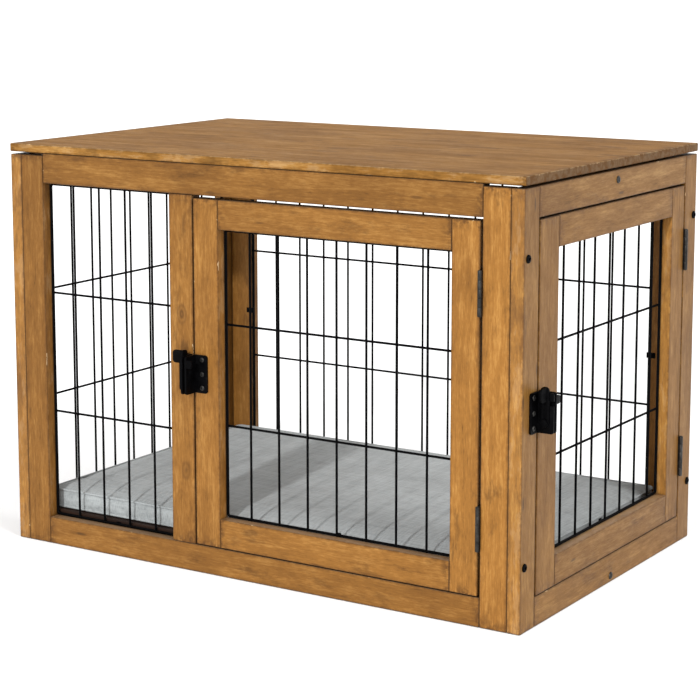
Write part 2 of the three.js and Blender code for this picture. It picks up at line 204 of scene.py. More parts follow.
def pine(name, board, seed, tone, look):
    """Stained pine for one board, with the grain along its length and painted light and shade."""
    shader = Shader(name)
    draw = random.Random(seed)
    offset = tuple(draw.uniform(-9, 9) for _ in range(3))
    low, high = Vector(board.bound_box[0]), Vector(board.bound_box[6])
    size = high - low
    axis = max(range(3), key=lambda index: size[index])
    depths, edge = board_distances(shader, low, high)

    # growth bands, darker lines, short fibres, soft blotches and a fine mottle
    bands = shader.noise(shader.place(stretched(axis, 0.09), offset), 48, 3, 0.6, 1.1)
    lines = shader.noise(shader.place(stretched(axis, 0.07), offset), 300, 4, 0.75, 0.5)
    fibre = shader.noise(shader.place(stretched(axis, 0.09), offset), 760, 3, 0.75)
    blotch = shader.noise(shader.place(stretched(axis, 0.7 * look["streak"]), offset), 52, 4, 0.62)
    mottle = shader.noise(shader.place(stretched(axis, 0.55 * look["streak"]), offset), 210, 4, 0.7)
    parts = ((bands, 0.20), (lines, 0.28), (fibre, 0.24), (blotch, 0.15), (mottle, 0.13))
    figure = weighted_sum(shader, parts)
    # the tone carries the stain, and painted light and shade set per slot and per front board
    stain_and_shade = (tone, tone * look["green"], tone)
    deep, mid, light = (tinted(colour, stain_and_shade) for colour in (PINE_DARK, PINE_MID, PINE_PALE))
    wood = shader.ramp(figure, ((0.375, deep), (0.44, shade(mid, 0.84)), (0.505, mid), (0.615, light)))

    # the stain lies unevenly, and rubbed in dirt gathers in ragged smudges
    cloud = shader.noise(shader.place(stretched(axis, 0.5), offset), 11, 3, 0.6)
    wood = shader.mix(shader.span(cloud, 0.36, 0.66, 0.0, 0.55), wood, (0.66, 0.62, 0.56), "MULTIPLY")
    smudge_place = shader.place(stretched(axis, 0.35), tuple(value + 4 for value in offset))
    smudge = shader.span(shader.noise(smudge_place, 30, 5, 0.72), 0.54, 0.70)
    wood = shader.mix(shader.math("MULTIPLY", smudge, 0.55), wood, shade(PINE_DARK, 0.55))

    # short dark dashes and pin knots along the grain
    cells = shader.add("TexVoronoi", None, Vector=shader.place(stretched(axis, 0.22), offset), Scale=64)
    chosen = shader.add("SeparateColor", None, Color=cells.outputs["Color"]).outputs["Red"]
    near_cell = shader.span(cells.outputs["Distance"], 0.20, 0.07)
    dash = shader.math("MULTIPLY", near_cell, shader.span(chosen, 0.86, 0.9))
    wood = shader.mix(shader.math("MULTIPLY", dash, 0.6), wood, DIRT_AND_SHADE)
    knots = shader.add("TexVoronoi", None, Vector=shader.place(stretched(axis, 0.55), offset), Scale=13)
    chosen = shader.add("SeparateColor", None, Color=knots.outputs["Color"]).outputs["Green"]
    chosen = shader.span(chosen, 0.84, 0.86)
    ring = shader.math("PINGPONG", knots.outputs["Distance"], 0.035)
    halo = shader.math("MULTIPLY", shader.span(knots.outputs["Distance"], 0.17, 0.05), chosen)
    halo = shader.math("MULTIPLY", halo, shader.span(ring, 0.0, 0.035, 0.25, 0.75))
    wood = shader.mix(halo, wood, shade(PINE_DARK, 0.6))

    # painted light: the narrow faces, the reveals of the openings, are brightened and tinted
    # by the slot's flank and cast; end grain drank the stain
    across = min((index for index in range(3) if index != axis), key=lambda index: -size[index])
    narrow = shader.span(depths[across], 0.3 * MM, 0.9 * MM, 1.0, 0.0)
    wood = shader.mix(narrow, wood, shade(look["flank_light_tint"], look["flank_light"]), "MULTIPLY")
    end_face = shader.span(depths[axis], 0.3 * MM, 0.9 * MM, 0.75, 0.0)
    wood = shader.mix(end_face, wood, END_GRAIN)
    scuff = shader.noise(shader.place(stretched(axis, 0.3), offset), 60, 5, 0.7)
    scuffed = shader.span(scuff, 0.50, 0.62, 0.0, look["scuff"])
    wood = shader.mix(shader.math("MULTIPLY", narrow, scuffed), wood, DIRT_AND_SHADE)
    pale = shader.span(scuff, 0.48, 0.40, 0.0, 0.6 * look["scuff"])
    wood = shader.mix(shader.math("MULTIPLY", narrow, pale), wood, shade(RAW_WOOD_AND_HIGHLIGHT, 0.85))

    # eased edges are darkened, part dirt and part painted shade; level narrow faces are greyed; upward-facing
    # edges are paled, part wear and part painted highlight
    arris = shader.span(edge, 0.3 * MM, 1.7 * MM, 1.0, 0.0)
    wood = shader.mix(shader.math("MULTIPLY", arris, 0.5), wood, DIRT_AND_SHADE)
    normal = shader.add("SeparateXYZ", None, Vector=shader.add("TexCoord").outputs["Normal"]).outputs[2]
    level = shader.math("MULTIPLY", narrow, shader.span(normal, 0.7, 0.95, 0.0, 0.5))
    wood = shader.mix(level, wood, LEVEL_FACE_GREY)
    # painted highlight mixed with wear: upward-facing edges are paled toward bare wood
    rubbed_and_highlight = shader.math("MULTIPLY", arris, shader.span(normal, 0.1, 0.5, 0.0, look["rubbed_and_highlight"]))
    wood = shader.mix(rubbed_and_highlight, wood, shade(RAW_WOOD_AND_HIGHLIGHT, 0.8))

    # painted shade mixed with grime within 5 mm of every edge, darker towards each board's ends, and chips
    # where the stain has come off the arris
    ragged = shader.noise(shader.place((1, 1, 1), offset), 95, 5, 0.7)
    rim = shader.span(edge, 0.0, 5 * MM, 0.62, 0.0)
    grime_and_shade = shader.math("MULTIPLY", rim, shader.span(ragged, 0.38, 0.6))
    wood = shader.mix(grime_and_shade, wood, shade(PINE_DARK, 0.75))
    end_zone = shader.span(depths[axis], 0.0, 20 * MM, 0.8, 0.0)
    near_end = shader.math("MULTIPLY", end_zone, shader.span(ragged, 0.42, 0.62))
    wood = shader.mix(near_end, wood, shade(PINE_DARK, 0.7))
    chip_place = shader.place(stretched(axis, 0.25), tuple(value - 6 for value in offset))
    chips = shader.noise(chip_place, 70, 4, 0.65)
    limit = shader.span(chips, 0.65, 0.76, 0.0, 3.4 * MM)
    chipped = shader.math("LESS_THAN", edge, limit)
    wood = shader.mix(shader.math("MULTIPLY", chipped, 0.62), wood, RAW_WOOD_AND_HIGHLIGHT)

    # painted shade: what lies deep in a joint is darkened by ambient occlusion
    crevice_shade = shader.add("AmbientOcclusion", {"samples": 6}, Distance=9 * MM).outputs["AO"]
    wood = shader.mix(shader.span(crevice_shade, 0.12, 0.62, 0.94, 0.0), wood, DIRT_AND_SHADE)

    relief = weighted_sum(shader, ((lines, 0.5), (fibre, 0.3), (blotch, 0.2)))
    roughness = shader.span(figure, 0.35, 0.65, look["rough"], 0.42)
    shader.plug(shader.surface, Base_Color=wood, Roughness=roughness)
    shader.surface.inputs["Specular IOR Level"].default_value = look["specular"]
    shader.tree.links.new(shader.bump(relief, 0.45, 0.0007), shader.surface.inputs["Normal"])
    return shader.material


def dark_board():
    """The floor board: very dark brown with a faint grain along X."""
    shader = Shader("floor_board_finish")
    along = shader.place((0.06, 1, 1))
    grain = shader.noise(along, 130, 4, 0.6, 0.5)
    colour = shader.ramp(grain, ((0.3, (0.008, 0.004, 0.003)), (0.7, (0.030, 0.014, 0.008))))
    shader.plug(shader.surface, Base_Color=colour, Roughness=shader.span(grain, 0.3, 0.7, 0.66, 0.52))
    shader.surface.inputs["Specular IOR Level"].default_value = 0.15
    shader.tree.links.new(shader.bump(grain, 0.3, 0.0003), shader.surface.inputs["Normal"])
    return shader.material


def powder_coat(name, gloss, wear):
    """Black powder coat: fine orange peel, dust in it, and thin grey rubs."""
    shader = Shader(name)
    peel = shader.noise(shader.place(), 1500, 2, 0.5)
    rub = shader.noise(shader.place(offset=(3, 1, 2)), 60, 4, 0.7)
    colour = shader.ramp(rub, (
        (0.35, (0.0008, 0.0008, 0.0010)),
        (0.62, (0.0018, 0.0018, 0.0022)),
        (0.80, (wear, wear, wear * 1.05)),
    ))
    shader.plug(shader.surface, Base_Color=colour, Roughness=shader.span(rub, 0.3, 0.8, gloss, gloss + 0.16))
    shader.surface.inputs["Specular IOR Level"].default_value = 0.03
    shader.tree.links.new(shader.bump(peel, 0.25, 0.0002), shader.surface.inputs["Normal"])
    return shader.material


STEEL = (0.060, 0.057, 0.053)


def dark_steel(name, bright):
    """Blackened steel of the hinges and the screw heads, with lighter grey rubs."""
    steel = shade(STEEL, bright)
    shader = Shader(name)
    rub = shader.noise(shader.place((1, 1, 0.4)), 170, 4, 0.65)
    colour = shader.ramp(
        rub, ((0.35, shade(steel, 0.5)), (0.55, steel), (0.75, shade(steel, 2.0)))
    )
    roughness = shader.span(rub, 0.3, 0.75, 0.55, 0.38)
    shader.plug(shader.surface, Base_Color=colour, Roughness=roughness, Metallic=0.8)
    shader.tree.links.new(shader.bump(rub, 0.2, 0.0002), shader.surface.inputs["Normal"])
    return shader.material


LINEN_DARK = (0.225, 0.241, 0.243)
LINEN_MID = (0.326, 0.348, 0.350)
LINEN_LIGHT = (0.415, 0.440, 0.442)
THREAD_PITCH = 1.6 * MM


def linen(name):
    """A plain weave: threads along X and Y (and Z on the boxing), with thick and thin slubs."""
    shader = Shader(name)
    point = shader.add("TexCoord").outputs["Object"]
    wobble = shader.noise(shader.place(), 55, 2)
    shifted = shader.add("VectorMath", {"operation": "MULTIPLY_ADD"})
    wobbles = shader.add("CombineXYZ", None, X=wobble, Y=wobble, Z=wobble)
    shader.tree.links.new(wobbles.outputs[0], shifted.inputs[0])
    shifted.inputs[1].default_value = (0.0012, 0.0012, 0.0012)
    shader.tree.links.new(point, shifted.inputs[2])
    split = shader.add("SeparateXYZ", None, Vector=shifted.outputs[0])
    turn = 2 * math.pi / THREAD_PITCH
    waves = [shader.math("SINE", shader.math("MULTIPLY", split.outputs[index], turn)) for index in range(3)]
    # warp and weft pass over and under each other where the product changes sign
    weave = shader.math("MULTIPLY", waves[0], waves[1])
    upright = shader.math("MULTIPLY", waves[2], shader.math("ADD", waves[0], waves[1]))
    weave = shader.math("ADD", weave, upright)
    across = shader.noise(shader.place((1, 0.05, 0.3)), 520, 2, 0.6)
    length = shader.noise(shader.place((0.05, 1, 0.3), (2, 5, 1)), 520, 2, 0.6)
    slub = shader.math("ADD", across, length)
    cloud = shader.noise(shader.place(offset=(5, 2, 7)), 9, 3, 0.6)
    tone = shader.math("ADD", shader.math("MULTIPLY", slub, 0.42), shader.math("MULTIPLY", cloud, 0.16))
    tone = shader.math("ADD", tone, shader.math("MULTIPLY", weave, 0.05))
    colour = shader.ramp(tone, ((0.36, LINEN_DARK), (0.50, LINEN_MID), (0.66, LINEN_LIGHT)))
    height = shader.math("ADD", shader.math("MULTIPLY", weave, 0.5), shader.math("MULTIPLY", slub, 0.6))
    shader.plug(shader.surface, Base_Color=colour, Roughness=0.93)
    shader.surface.inputs["Specular IOR Level"].default_value = 0.2
    shader.surface.inputs["Sheen Weight"].default_value = 0.18
    shader.surface.inputs["Sheen Roughness"].default_value = 0.6
    shader.tree.links.new(shader.bump(height, 0.5, 0.0005), shader.surface.inputs["Normal"])
    return shader.material


def set_material(obj, material):
    obj.data.materials.clear()
    obj.data.materials.append(material)


# ---------------------------------------------------------------- mesh helpers
def new_piece(name, mesh_code, matrix, material, body, smooth_angle=40):
    """Makes an object from a bmesh in panel space, and rides it on a body."""
    mesh = bpy.data.meshes.new(name)
    mesh_code.to_mesh(mesh)
    mesh_code.free()
    mesh.transform(matrix)
    mesh.update()
    piece = bpy.data.objects.new(name, mesh)
    bpy.context.collection.objects.link(piece)
    mesh.materials.append(material)
    mesh.shade_smooth()
    mesh.set_sharp_from_angle(angle=math.radians(smooth_angle))
    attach(piece, body)
    return piece


def sweep(bm, points, radius, sides, plane_normal, closed=False):
    """A round wire along points that lie in one plane."""
    count = len(points)
    rings = []
    for index, point in enumerate(points):
        before = points[index - 1] if closed or index > 0 else point
        after = points[(index + 1) % count] if closed or index < count - 1 else point
        sideways = (after - before).normalized().cross(plane_normal)
        ring = []
        for step in range(sides):
            angle = 2 * math.pi * step / sides
            spoke = math.cos(angle) * plane_normal + math.sin(angle) * sideways
            ring.append(bm.verts.new(point + radius * spoke))
        rings.append(ring)
    pairs = zip(rings, rings[1:] + rings[:1]) if closed else zip(rings, rings[1:])
    for low, high in pairs:
        for step in range(sides):
            following = (step + 1) % sides
            bm.faces.new((low[step], low[following], high[following], high[step]))
    if not closed:
        bm.faces.new(list(reversed(rings[0])))
        bm.faces.new(rings[-1])


def lathe(bm, profile, sides, matrix):
    """Turns a list of (radius, height) pairs round Z and places the result by a matrix."""
    rings = []
    for radius, height in profile:
        if radius == 0:
            rings.append([bm.verts.new(matrix @ Vector((0, 0, height)))])
            continue
        ring = []
        for step in range(sides):
            angle = 2 * math.pi * step / sides
            place = Vector((radius * math.cos(angle), radius * math.sin(angle), height))
            ring.append(bm.verts.new(matrix @ place))
        rings.append(ring)
    for low, high in zip(rings, rings[1:]):
        for step in range(sides):
            following = (step + 1) % sides
            corners = [
                low[step % len(low)], low[following % len(low)],
                high[following % len(high)], high[step % len(high)],
            ]
            unique = list(dict.fromkeys(corners))
            if len(unique) > 2:
                bm.faces.new(unique)


def rounded_outline(low_x, high_x, low_z, high_z, bend, depth, steps=6):
    """Points round a rectangle with bent corners, at one depth in panel space."""
    points = []
    corners = ((high_x, low_z, -90), (high_x, high_z, 0), (low_x, high_z, 90), (low_x, low_z, 180))
    for corner_x, corner_z, start in corners:
        centre_x = corner_x + (bend if corner_x == low_x else -bend)
        centre_z = corner_z + (bend if corner_z == low_z else -bend)
        for step in range(steps + 1):
            angle = math.radians(start + 90 * step / steps)
            x, z = centre_x + bend * math.cos(angle), centre_z + bend * math.sin(angle)
            points.append(Vector((x, depth, z)))
    return points


# ---------------------------------------------------------------- wire grids
WIRE_PITCH = 50.8 * MM
BORDER_RADIUS = 2.1 * MM
UPRIGHT_RADIUS = 1.8 * MM
CROSS_RADIUS = 1.8 * MM
BORDER_BEND = 4 * MM
UPRIGHT_SET = -0.3 * MM  # depths of the wires' centres, inwards from the border's
CROSS_SET = 1.6 * MM
CROSSING_BEAD = 2.1 * MM
UPRIGHT_END_BEAD = 2.5 * MM
CROSS_END_BEAD = 2.4 * MM
WIRE_SIDES = 12
INWARDS = Vector((0, 1, 0))

# node: panel, body, middle of the uprights, their number, heights of the cross wires
GRIDS = {
    "front_fixed_grid": ("front", CABINET, -267.7 * MM, 4, (213.5 * MM, 404.6 * MM)),
    "front_door_grid": ("front", FRONT_DOOR, 143.7 * MM, 7, (231 * MM, 386 * MM)),
    "side_door_grid": ("right", SIDE_DOOR, 13 * MM, 7, (227 * MM, 393 * MM)),
    "left_side_grid": ("left", CABINET, 16 * MM, 9, (226 * MM, 400.6 * MM)),
    "back_grid": ("back", CABINET, 9 * MM, 14, (213.5 * MM, 404.6 * MM)),
}


def panel_box(node, panel):
    """A node's box in panel space, as low and high corners."""
    inverse = PANELS[panel].inverted()
    corners = [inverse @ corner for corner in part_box(node)]
    low = Vector(map(min, *corners))
    high = Vector(map(max, *corners))
    return low, high


def weld(bm, centre, radius):
    """The flattened bead where two wires are fused."""
    shape = Matrix.LocRotScale(centre, None, (1, 0.8, 1))
    bmesh.ops.create_icosphere(bm, subdivisions=2, radius=radius, matrix=shape)


def grid_piece(node, coat):
    panel, body, middle, count, heights = GRIDS[node]
    low, high = panel_box(node, panel)
    depth = low.y + BORDER_RADIUS
    left, right = low.x + BORDER_RADIUS, high.x - BORDER_RADIUS
    bottom, top = low.z + BORDER_RADIUS, high.z - BORDER_RADIUS
    bm = bmesh.new()
    border = rounded_outline(left, right, bottom, top, BORDER_BEND, depth)
    sweep(bm, border, BORDER_RADIUS, WIRE_SIDES, INWARDS, True)
    upright_depth = depth + UPRIGHT_SET
    cross_depth = depth + CROSS_SET
    for index in range(count):
        x = middle + (index - (count - 1) / 2) * WIRE_PITCH
        ends = [Vector((x, upright_depth, bottom)), Vector((x, upright_depth, top))]
        sweep(bm, ends, UPRIGHT_RADIUS, WIRE_SIDES, INWARDS)
        for height in heights:
            weld(bm, Vector((x, (upright_depth + cross_depth) / 2, height)), CROSSING_BEAD)
        for height in (bottom, top):
            weld(bm, Vector((x, upright_depth, height)), UPRIGHT_END_BEAD)
    for height in heights:
        ends = [Vector((left, cross_depth, height)), Vector((right, cross_depth, height))]
        sweep(bm, ends, CROSS_RADIUS, WIRE_SIDES, INWARDS)
        for x in (left, right):
            weld(bm, Vector((x, (depth + cross_depth) / 2, height)), CROSS_END_BEAD)
    piece = new_piece(node + "_wires", bm, PANELS[panel], coat, body)
    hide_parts(node)
    return left, right, bottom, top


# ---------------------------------------------------------------- fasteners
FRAME_THICKNESS = 21 * MM
BOLT_SIDES = 24
BOLT_HEAD_RADIUS = 6 * MM
BOLT_HEAD_HEIGHT = 2.6 * MM
BOLT_SHANK_RADIUS = 3 * MM
FLOOR_SCREW_HEIGHT = 10 * MM
LATCH_PLATE_HALF = 9 * MM
LATCH_PLATE_FACE = -2.8 * MM


def facing(across, depth, height):
    """Placement in panel space with Z pointing out of the panel's outer face."""
    turn = Matrix.Rotation(math.radians(90), 4, "X")
    return Matrix.Translation((across, depth, height)) @ turn


def inward_facing(across, depth, height):
    """Placement in panel space with Z pointing into the cabin."""
    turn = Matrix.Rotation(math.radians(-90), 4, "X")
    return Matrix.Translation((across, depth, height)) @ turn


def screw_head(bm, matrix, radius, height, turn=0.0):
    """A domed head with a cross recess, its underside at the matrix's origin."""
    profile = [
        (radius, 0), (radius, height * 0.25), (radius * 0.93, height * 0.60), (radius * 0.76, height * 0.86),
        (radius * 0.50, height), (radius * 0.44, height), (radius * 0.30, height * 0.35), (0, height * 0.30),
    ]
    lathe(bm, profile, 20, matrix)
    for angle in (turn, turn + math.pi / 2):
        slot = Matrix.LocRotScale((0, 0, height * 0.52), None, (1.0, 0.22, 0.5))
        bar = Matrix.Rotation(angle, 4, "Z") @ slot
        bmesh.ops.create_cube(bm, size=radius * 0.80, matrix=matrix @ bar)


def hex_bolt_head(bm, matrix, radius, height):
    """A low domed head with a hexagon socket, its underside at the matrix's origin."""
    socket = radius * 0.46
    profile = [
        (radius, 0), (radius, height * 0.28), (radius * 0.94, height * 0.58), (radius * 0.80, height * 0.82),
        (radius * 0.60, height), (socket, height),
    ]
    lathe(bm, profile, BOLT_SIDES, matrix)
    rim, floor, outer = [], [], []
    for step in range(BOLT_SIDES):
        angle = 2 * math.pi * step / BOLT_SIDES
        reach = socket * math.cos(math.pi / 6) / math.cos((angle % (math.pi / 3)) - math.pi / 6)
        edge = Vector((reach * math.cos(angle), reach * math.sin(angle), height * 0.96))
        rim.append(bm.verts.new(matrix @ edge))
        edge.z = height * 0.25
        floor.append(bm.verts.new(matrix @ edge))
    for step in range(BOLT_SIDES):
        angle = 2 * math.pi * step / BOLT_SIDES
        edge = Vector((socket * math.cos(angle), socket * math.sin(angle), height))
        outer.append(bm.verts.new(matrix @ edge))
    for step in range(BOLT_SIDES):
        following = (step + 1) % BOLT_SIDES
        bm.faces.new((outer[step], outer[following], rim[following], rim[step]))
        bm.faces.new((rim[step], rim[following], floor[following], floor[step]))
    bm.faces.new(floor)


def corner_bolts(coat):
    """Replaces each plain CAD bolt by one with a socket head."""
    for side in ("right", "left"):
        panel = PANELS[side]
        for end in ("front", "rear"):
            for level in ("lower", "upper"):
                node = f"{side}_{end}_{level}_bolt"
                low, high = panel_box(node, side)
                centre = (low + high) / 2
                bm = bmesh.new()
                place = facing(centre.x, -0.3 * MM, centre.z)
                hex_bolt_head(bm, place, BOLT_HEAD_RADIUS, BOLT_HEAD_HEIGHT)
                shank = [
                    (BOLT_HEAD_RADIUS, 0), (BOLT_SHANK_RADIUS, 0),
                    (BOLT_SHANK_RADIUS, -(high.y - 1 * MM)), (0, -high.y),
                ]
                lathe(bm, shank, BOLT_SIDES, place)
                piece = new_piece(node + "_socket_head", bm, panel, coat, CABINET)
                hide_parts(node)


def support_screws(coat):
    """The screws that hold the top and floor support bars, seen on the side panels."""
    heights = {"top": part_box("top_support_bar"), "floor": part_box("floor_support_bar")}
    for side in ("right", "left"):
        for name, (low, high) in heights.items():
            bm = bmesh.new()
            height = (low.z + high.z) / 2 if name == "top" else FLOOR_SCREW_HEIGHT
            screw_head(bm, facing(0, 0, height), 5.6 * MM, 2.2 * MM, 0.4)
            new_piece(f"{side}_{name}_bar_screw", bm, PANELS[side], coat, CABINET)


def grid_clips(node, edges, coat):
    """Small saddle clips, screwed to the inner face of the frame, that hold a grid's border wire."""
    panel, body, _, _, _ = GRIDS[node]
    left, right, bottom, top = edges
    middle = (left + right) / 2
    places = [(middle, top, 0, 1), (middle, bottom, 0, -1)]
    if node == "back_grid":
        side_height = bottom + (top - bottom) * 0.47
        places = [(left, side_height, -1, 0), (right, side_height, 1, 0)] + places
    bm = bmesh.new()
    for across, height, side_x, side_z in places:
        depth = FRAME_THICKNESS + 0.7 * MM
        centre = Vector((across + side_x * 5 * MM, depth, height + side_z * 5 * MM))
        size = (15 * MM, 1.2 * MM, 9 * MM) if side_x else (9 * MM, 1.2 * MM, 15 * MM)
        made = bmesh.ops.create_cube(bm, size=1, matrix=Matrix.LocRotScale(centre, None, size))
        edges_of = list({edge for vert in made["verts"] for edge in vert.link_edges})
        bmesh.ops.bevel(bm, geom=edges_of, offset=0.35 * MM, segments=2, affect="EDGES", profile=0.6)
        screw = inward_facing(centre.x + side_x * 3 * MM, centre.y + 0.5 * MM, centre.z + side_z * 3 * MM)
        screw_head(bm, screw, 2.6 * MM, 1.3 * MM, 0.3)
    new_piece(node + "_clips", bm, PANELS[panel], coat, body)


def refined(node, body, material, bevel):
    """A copy of a CAD node with its sharp edges rounded over."""
    source = frame["nodes"][node]
    bm = bmesh.new()
    bm.from_mesh(source.data)
    bmesh.ops.remove_doubles(bm, verts=bm.verts, dist=0.01 * MM)
    bmesh.ops.dissolve_limit(bm, angle_limit=math.radians(1.5), verts=bm.verts, edges=bm.edges)
    sharp = [edge for edge in bm.edges if edge.is_manifold and edge.calc_face_angle(0) > math.radians(35)]
    bmesh.ops.bevel(bm, geom=sharp, offset=bevel, segments=2, affect="EDGES", profile=0.5, clamp_overlap=True)
    piece = new_piece(node + "_rounded", bm, Matrix.Identity(4), material, body)
    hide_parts(node)


def body_with(node):
    """The body that a node belongs to."""
    for body, nodes in frame["record"]["behaviour"]["bodies"].items():
        if node in nodes:
            return body
    raise KeyError(node)


def latches(coat, steel):
    for side, panel in (("front", "front"), ("side", "right")):
        for part in ("latch_body", "latch_lever", "latch_keeper"):
            node = f"{side}_{part}"
            refined(node, body_with(node), coat, 0.35 * MM)
            if part == "latch_lever":
                continue
            low, high = panel_box(node, panel)
            # the mounting plate is the wide part of the body and of the keeper
            across = low.x + LATCH_PLATE_HALF if part == "latch_body" else high.x - LATCH_PLATE_HALF
            bm = bmesh.new()
            screws = ((low.z + 8 * MM, 0.5), ((low.z + high.z) / 2, 0.2), (high.z - 7 * MM, 1.1))
            for height, turn in screws:
                screw_head(bm, facing(across, LATCH_PLATE_FACE, height), 3.9 * MM, 1.7 * MM, turn)
            new_piece(f"{node}_screws", bm, PANELS[panel], steel, body_with(node))


def hinges(steel):
    for side in ("front", "side"):
        for level in ("upper", "lower"):
            for part in ("frame_leaf_and_pin", "door_leaf"):
                node = f"{side}_{level}_hinge_{part}"
                refined(node, body_with(node), steel, 0.25 * MM)


# ---------------------------------------------------------------- cushion
CUSHION_CELL = 9 * MM
CUSHION_CORNER = 15 * MM
FILL_FRAMES = 22
SEAM_DROP = 11 * MM  # from the CAD cushion's top down to the upper seam
BOXING_ROWS = 4
PIPING_RADIUS = 2.1 * MM
SWELL_CAP = 13 * MM


def round_corner(x, y, half_x, half_y, radius):
    """Moves a point of a square cornered rectangle so that the corners become round."""
    centre_x, centre_y = half_x - radius, half_y - radius
    over_x, over_y = abs(x) - centre_x, abs(y) - centre_y
    if over_x <= 0 or over_y <= 0:
        return x, y
    reach = max(over_x, over_y) / math.hypot(over_x, over_y)
    return math.copysign(centre_x + over_x * reach, x), math.copysign(centre_y + over_y * reach, y)


def cushion_shell(half_x, half_y, low, seam):
    """A box cushion's cover before it is filled: two panels and a boxing strip, with its seam loops."""
    columns = round(2 * half_x / CUSHION_CELL)
    rows = round(2 * half_y / CUSHION_CELL)
    bm = bmesh.new()

    def panel(height):
        sheet = []
        for row in range(rows + 1):
            line = []
            for column in range(columns + 1):
                x = -half_x + 2 * half_x * column / columns
                y = -half_y + 2 * half_y * row / rows
                x, y = round_corner(x, y, half_x, half_y, CUSHION_CORNER)
                line.append(bm.verts.new((x, y, height)))
            sheet.append(line)
        return sheet

    def rim(sheet):
        loop = list(sheet[0])
        loop += [line[-1] for line in sheet[1:]]
        loop += list(reversed(sheet[-1][:-1]))
        loop += [line[0] for line in reversed(sheet[1:-1])]
        return loop

    top, bottom = panel(seam), panel(low)
    for sheet, flip in ((top, False), (bottom, True)):
        for row in range(rows):
            for column in range(columns):
                corners = [
                    sheet[row][column], sheet[row][column + 1],
                    sheet[row + 1][column + 1], sheet[row + 1][column],
                ]
                bm.faces.new(list(reversed(corners)) if flip else corners)
    upper, lower = rim(top), rim(bottom)
    loops = [lower]
    for row in range(1, BOXING_ROWS):
        height = low + (seam - low) * row / BOXING_ROWS
        loops.append([bm.verts.new((vert.co.x, vert.co.y, height)) for vert in lower])
    loops.append(upper)
    for below, above in zip(loops, loops[1:]):
        for index in range(len(below)):
            following = (index + 1) % len(below)
            bm.faces.new((below[index], below[following], above[following], above[index]))
    bm.verts.index_update()
    return bm, [vert.index for vert in upper], [vert.index for vert in lower]


def fill_cushion(piece, seam_indices):
    """Fills the cover by a pressure cloth simulation and keeps the result within a cap."""
    rest = [vert.co.copy() for vert in piece.data.vertices]
    group = piece.vertex_groups.new(name="seams")
    group.add(seam_indices, 0.9, "REPLACE")
    cloth = piece.modifiers.new("fill", "CLOTH")
    settings = cloth.settings
    settings.quality = 6
    settings.mass = 0.3
    settings.tension_stiffness = 14
    settings.compression_stiffness = 9
    settings.bending_stiffness = 0.35
    settings.use_pressure = True
    settings.uniform_pressure_force = 2.6
    settings.shrink_min = -0.012
    settings.effector_weights.gravity = 0
    settings.vertex_group_mass = "seams"
    settings.pin_stiffness = 0.6
    cloth.point_cache.frame_start = 1
    cloth.point_cache.frame_end = FILL_FRAMES
    scene = bpy.context.scene
    for step in range(1, FILL_FRAMES + 1):
        scene.frame_set(step)
    depsgraph = bpy.context.evaluated_depsgraph_get()
    filled = [vert.co.copy() for vert in piece.evaluated_get(depsgraph).data.vertices]
    piece.modifiers.remove(cloth)
    piece.vertex_groups.remove(group)
    scene.frame_set(1)
    for vert, start, end in zip(piece.data.vertices, rest, filled):
        move = end - start
        if move.length > SWELL_CAP:
            move *= SWELL_CAP / move.length
        vert.co = start + move


def crown(piece, half_x, half_y, low, seam, rise):
    """Blends the filled top with a computed crown and ripples, and flattens the underside."""
    for vert in piece.data.vertices:
        x, y, z = vert.co
        inside = min(half_x - abs(x), half_y - abs(y))
        share = min(1.0, max(0.0, inside / (0.16 * half_y + 30 * MM)))
        bulge = rise * (1 - (1 - share) ** 2.2)
        if z > seam - 1 * MM:
            broad = noise.noise(Vector((x * 9, y * 13, 3.1))) * 1.6 * MM
            fine = noise.noise(Vector((x * 31, y * 27, 8.2))) * 0.5 * MM
            ripple = broad + fine
            vert.co.z = min(z, seam + bulge * 1.15) * 0.35 + (seam + bulge + ripple * share) * 0.65
        elif z < low + 2 * MM:
            vert.co.z = low + 0.15 * MM + 0.6 * MM * (1 - share)
    piece.data.update()


def piping(name, points, material):
    """A fabric covered cord sewn into a seam."""
    bm = bmesh.new()
    sides = 8
    rings = []
    count = len(points)
    for index, point in enumerate(points):
        tangent = (points[(index + 1) % count] - points[index - 1]).normalized()
        outward = tangent.cross(Vector((0, 0, 1))).normalized()
        upward = outward.cross(tangent)
        ring = []
        for step in range(sides):
            angle = 2 * math.pi * step / sides
            spoke = math.cos(angle) * outward + math.sin(angle) * upward
            ring.append(bm.verts.new(point + PIPING_RADIUS * spoke))
        rings.append(ring)
    for low, high in zip(rings, rings[1:] + rings[:1]):
        for step in range(sides):
            following = (step + 1) % sides
            bm.faces.new((low[step], high[step], high[following], low[following]))
    piece = new_piece(name, bm, Matrix.Identity(4), material, CABINET)
    smooth = piece.modifiers.new("smooth", "SUBSURF")
    smooth.levels = smooth.render_levels = 1


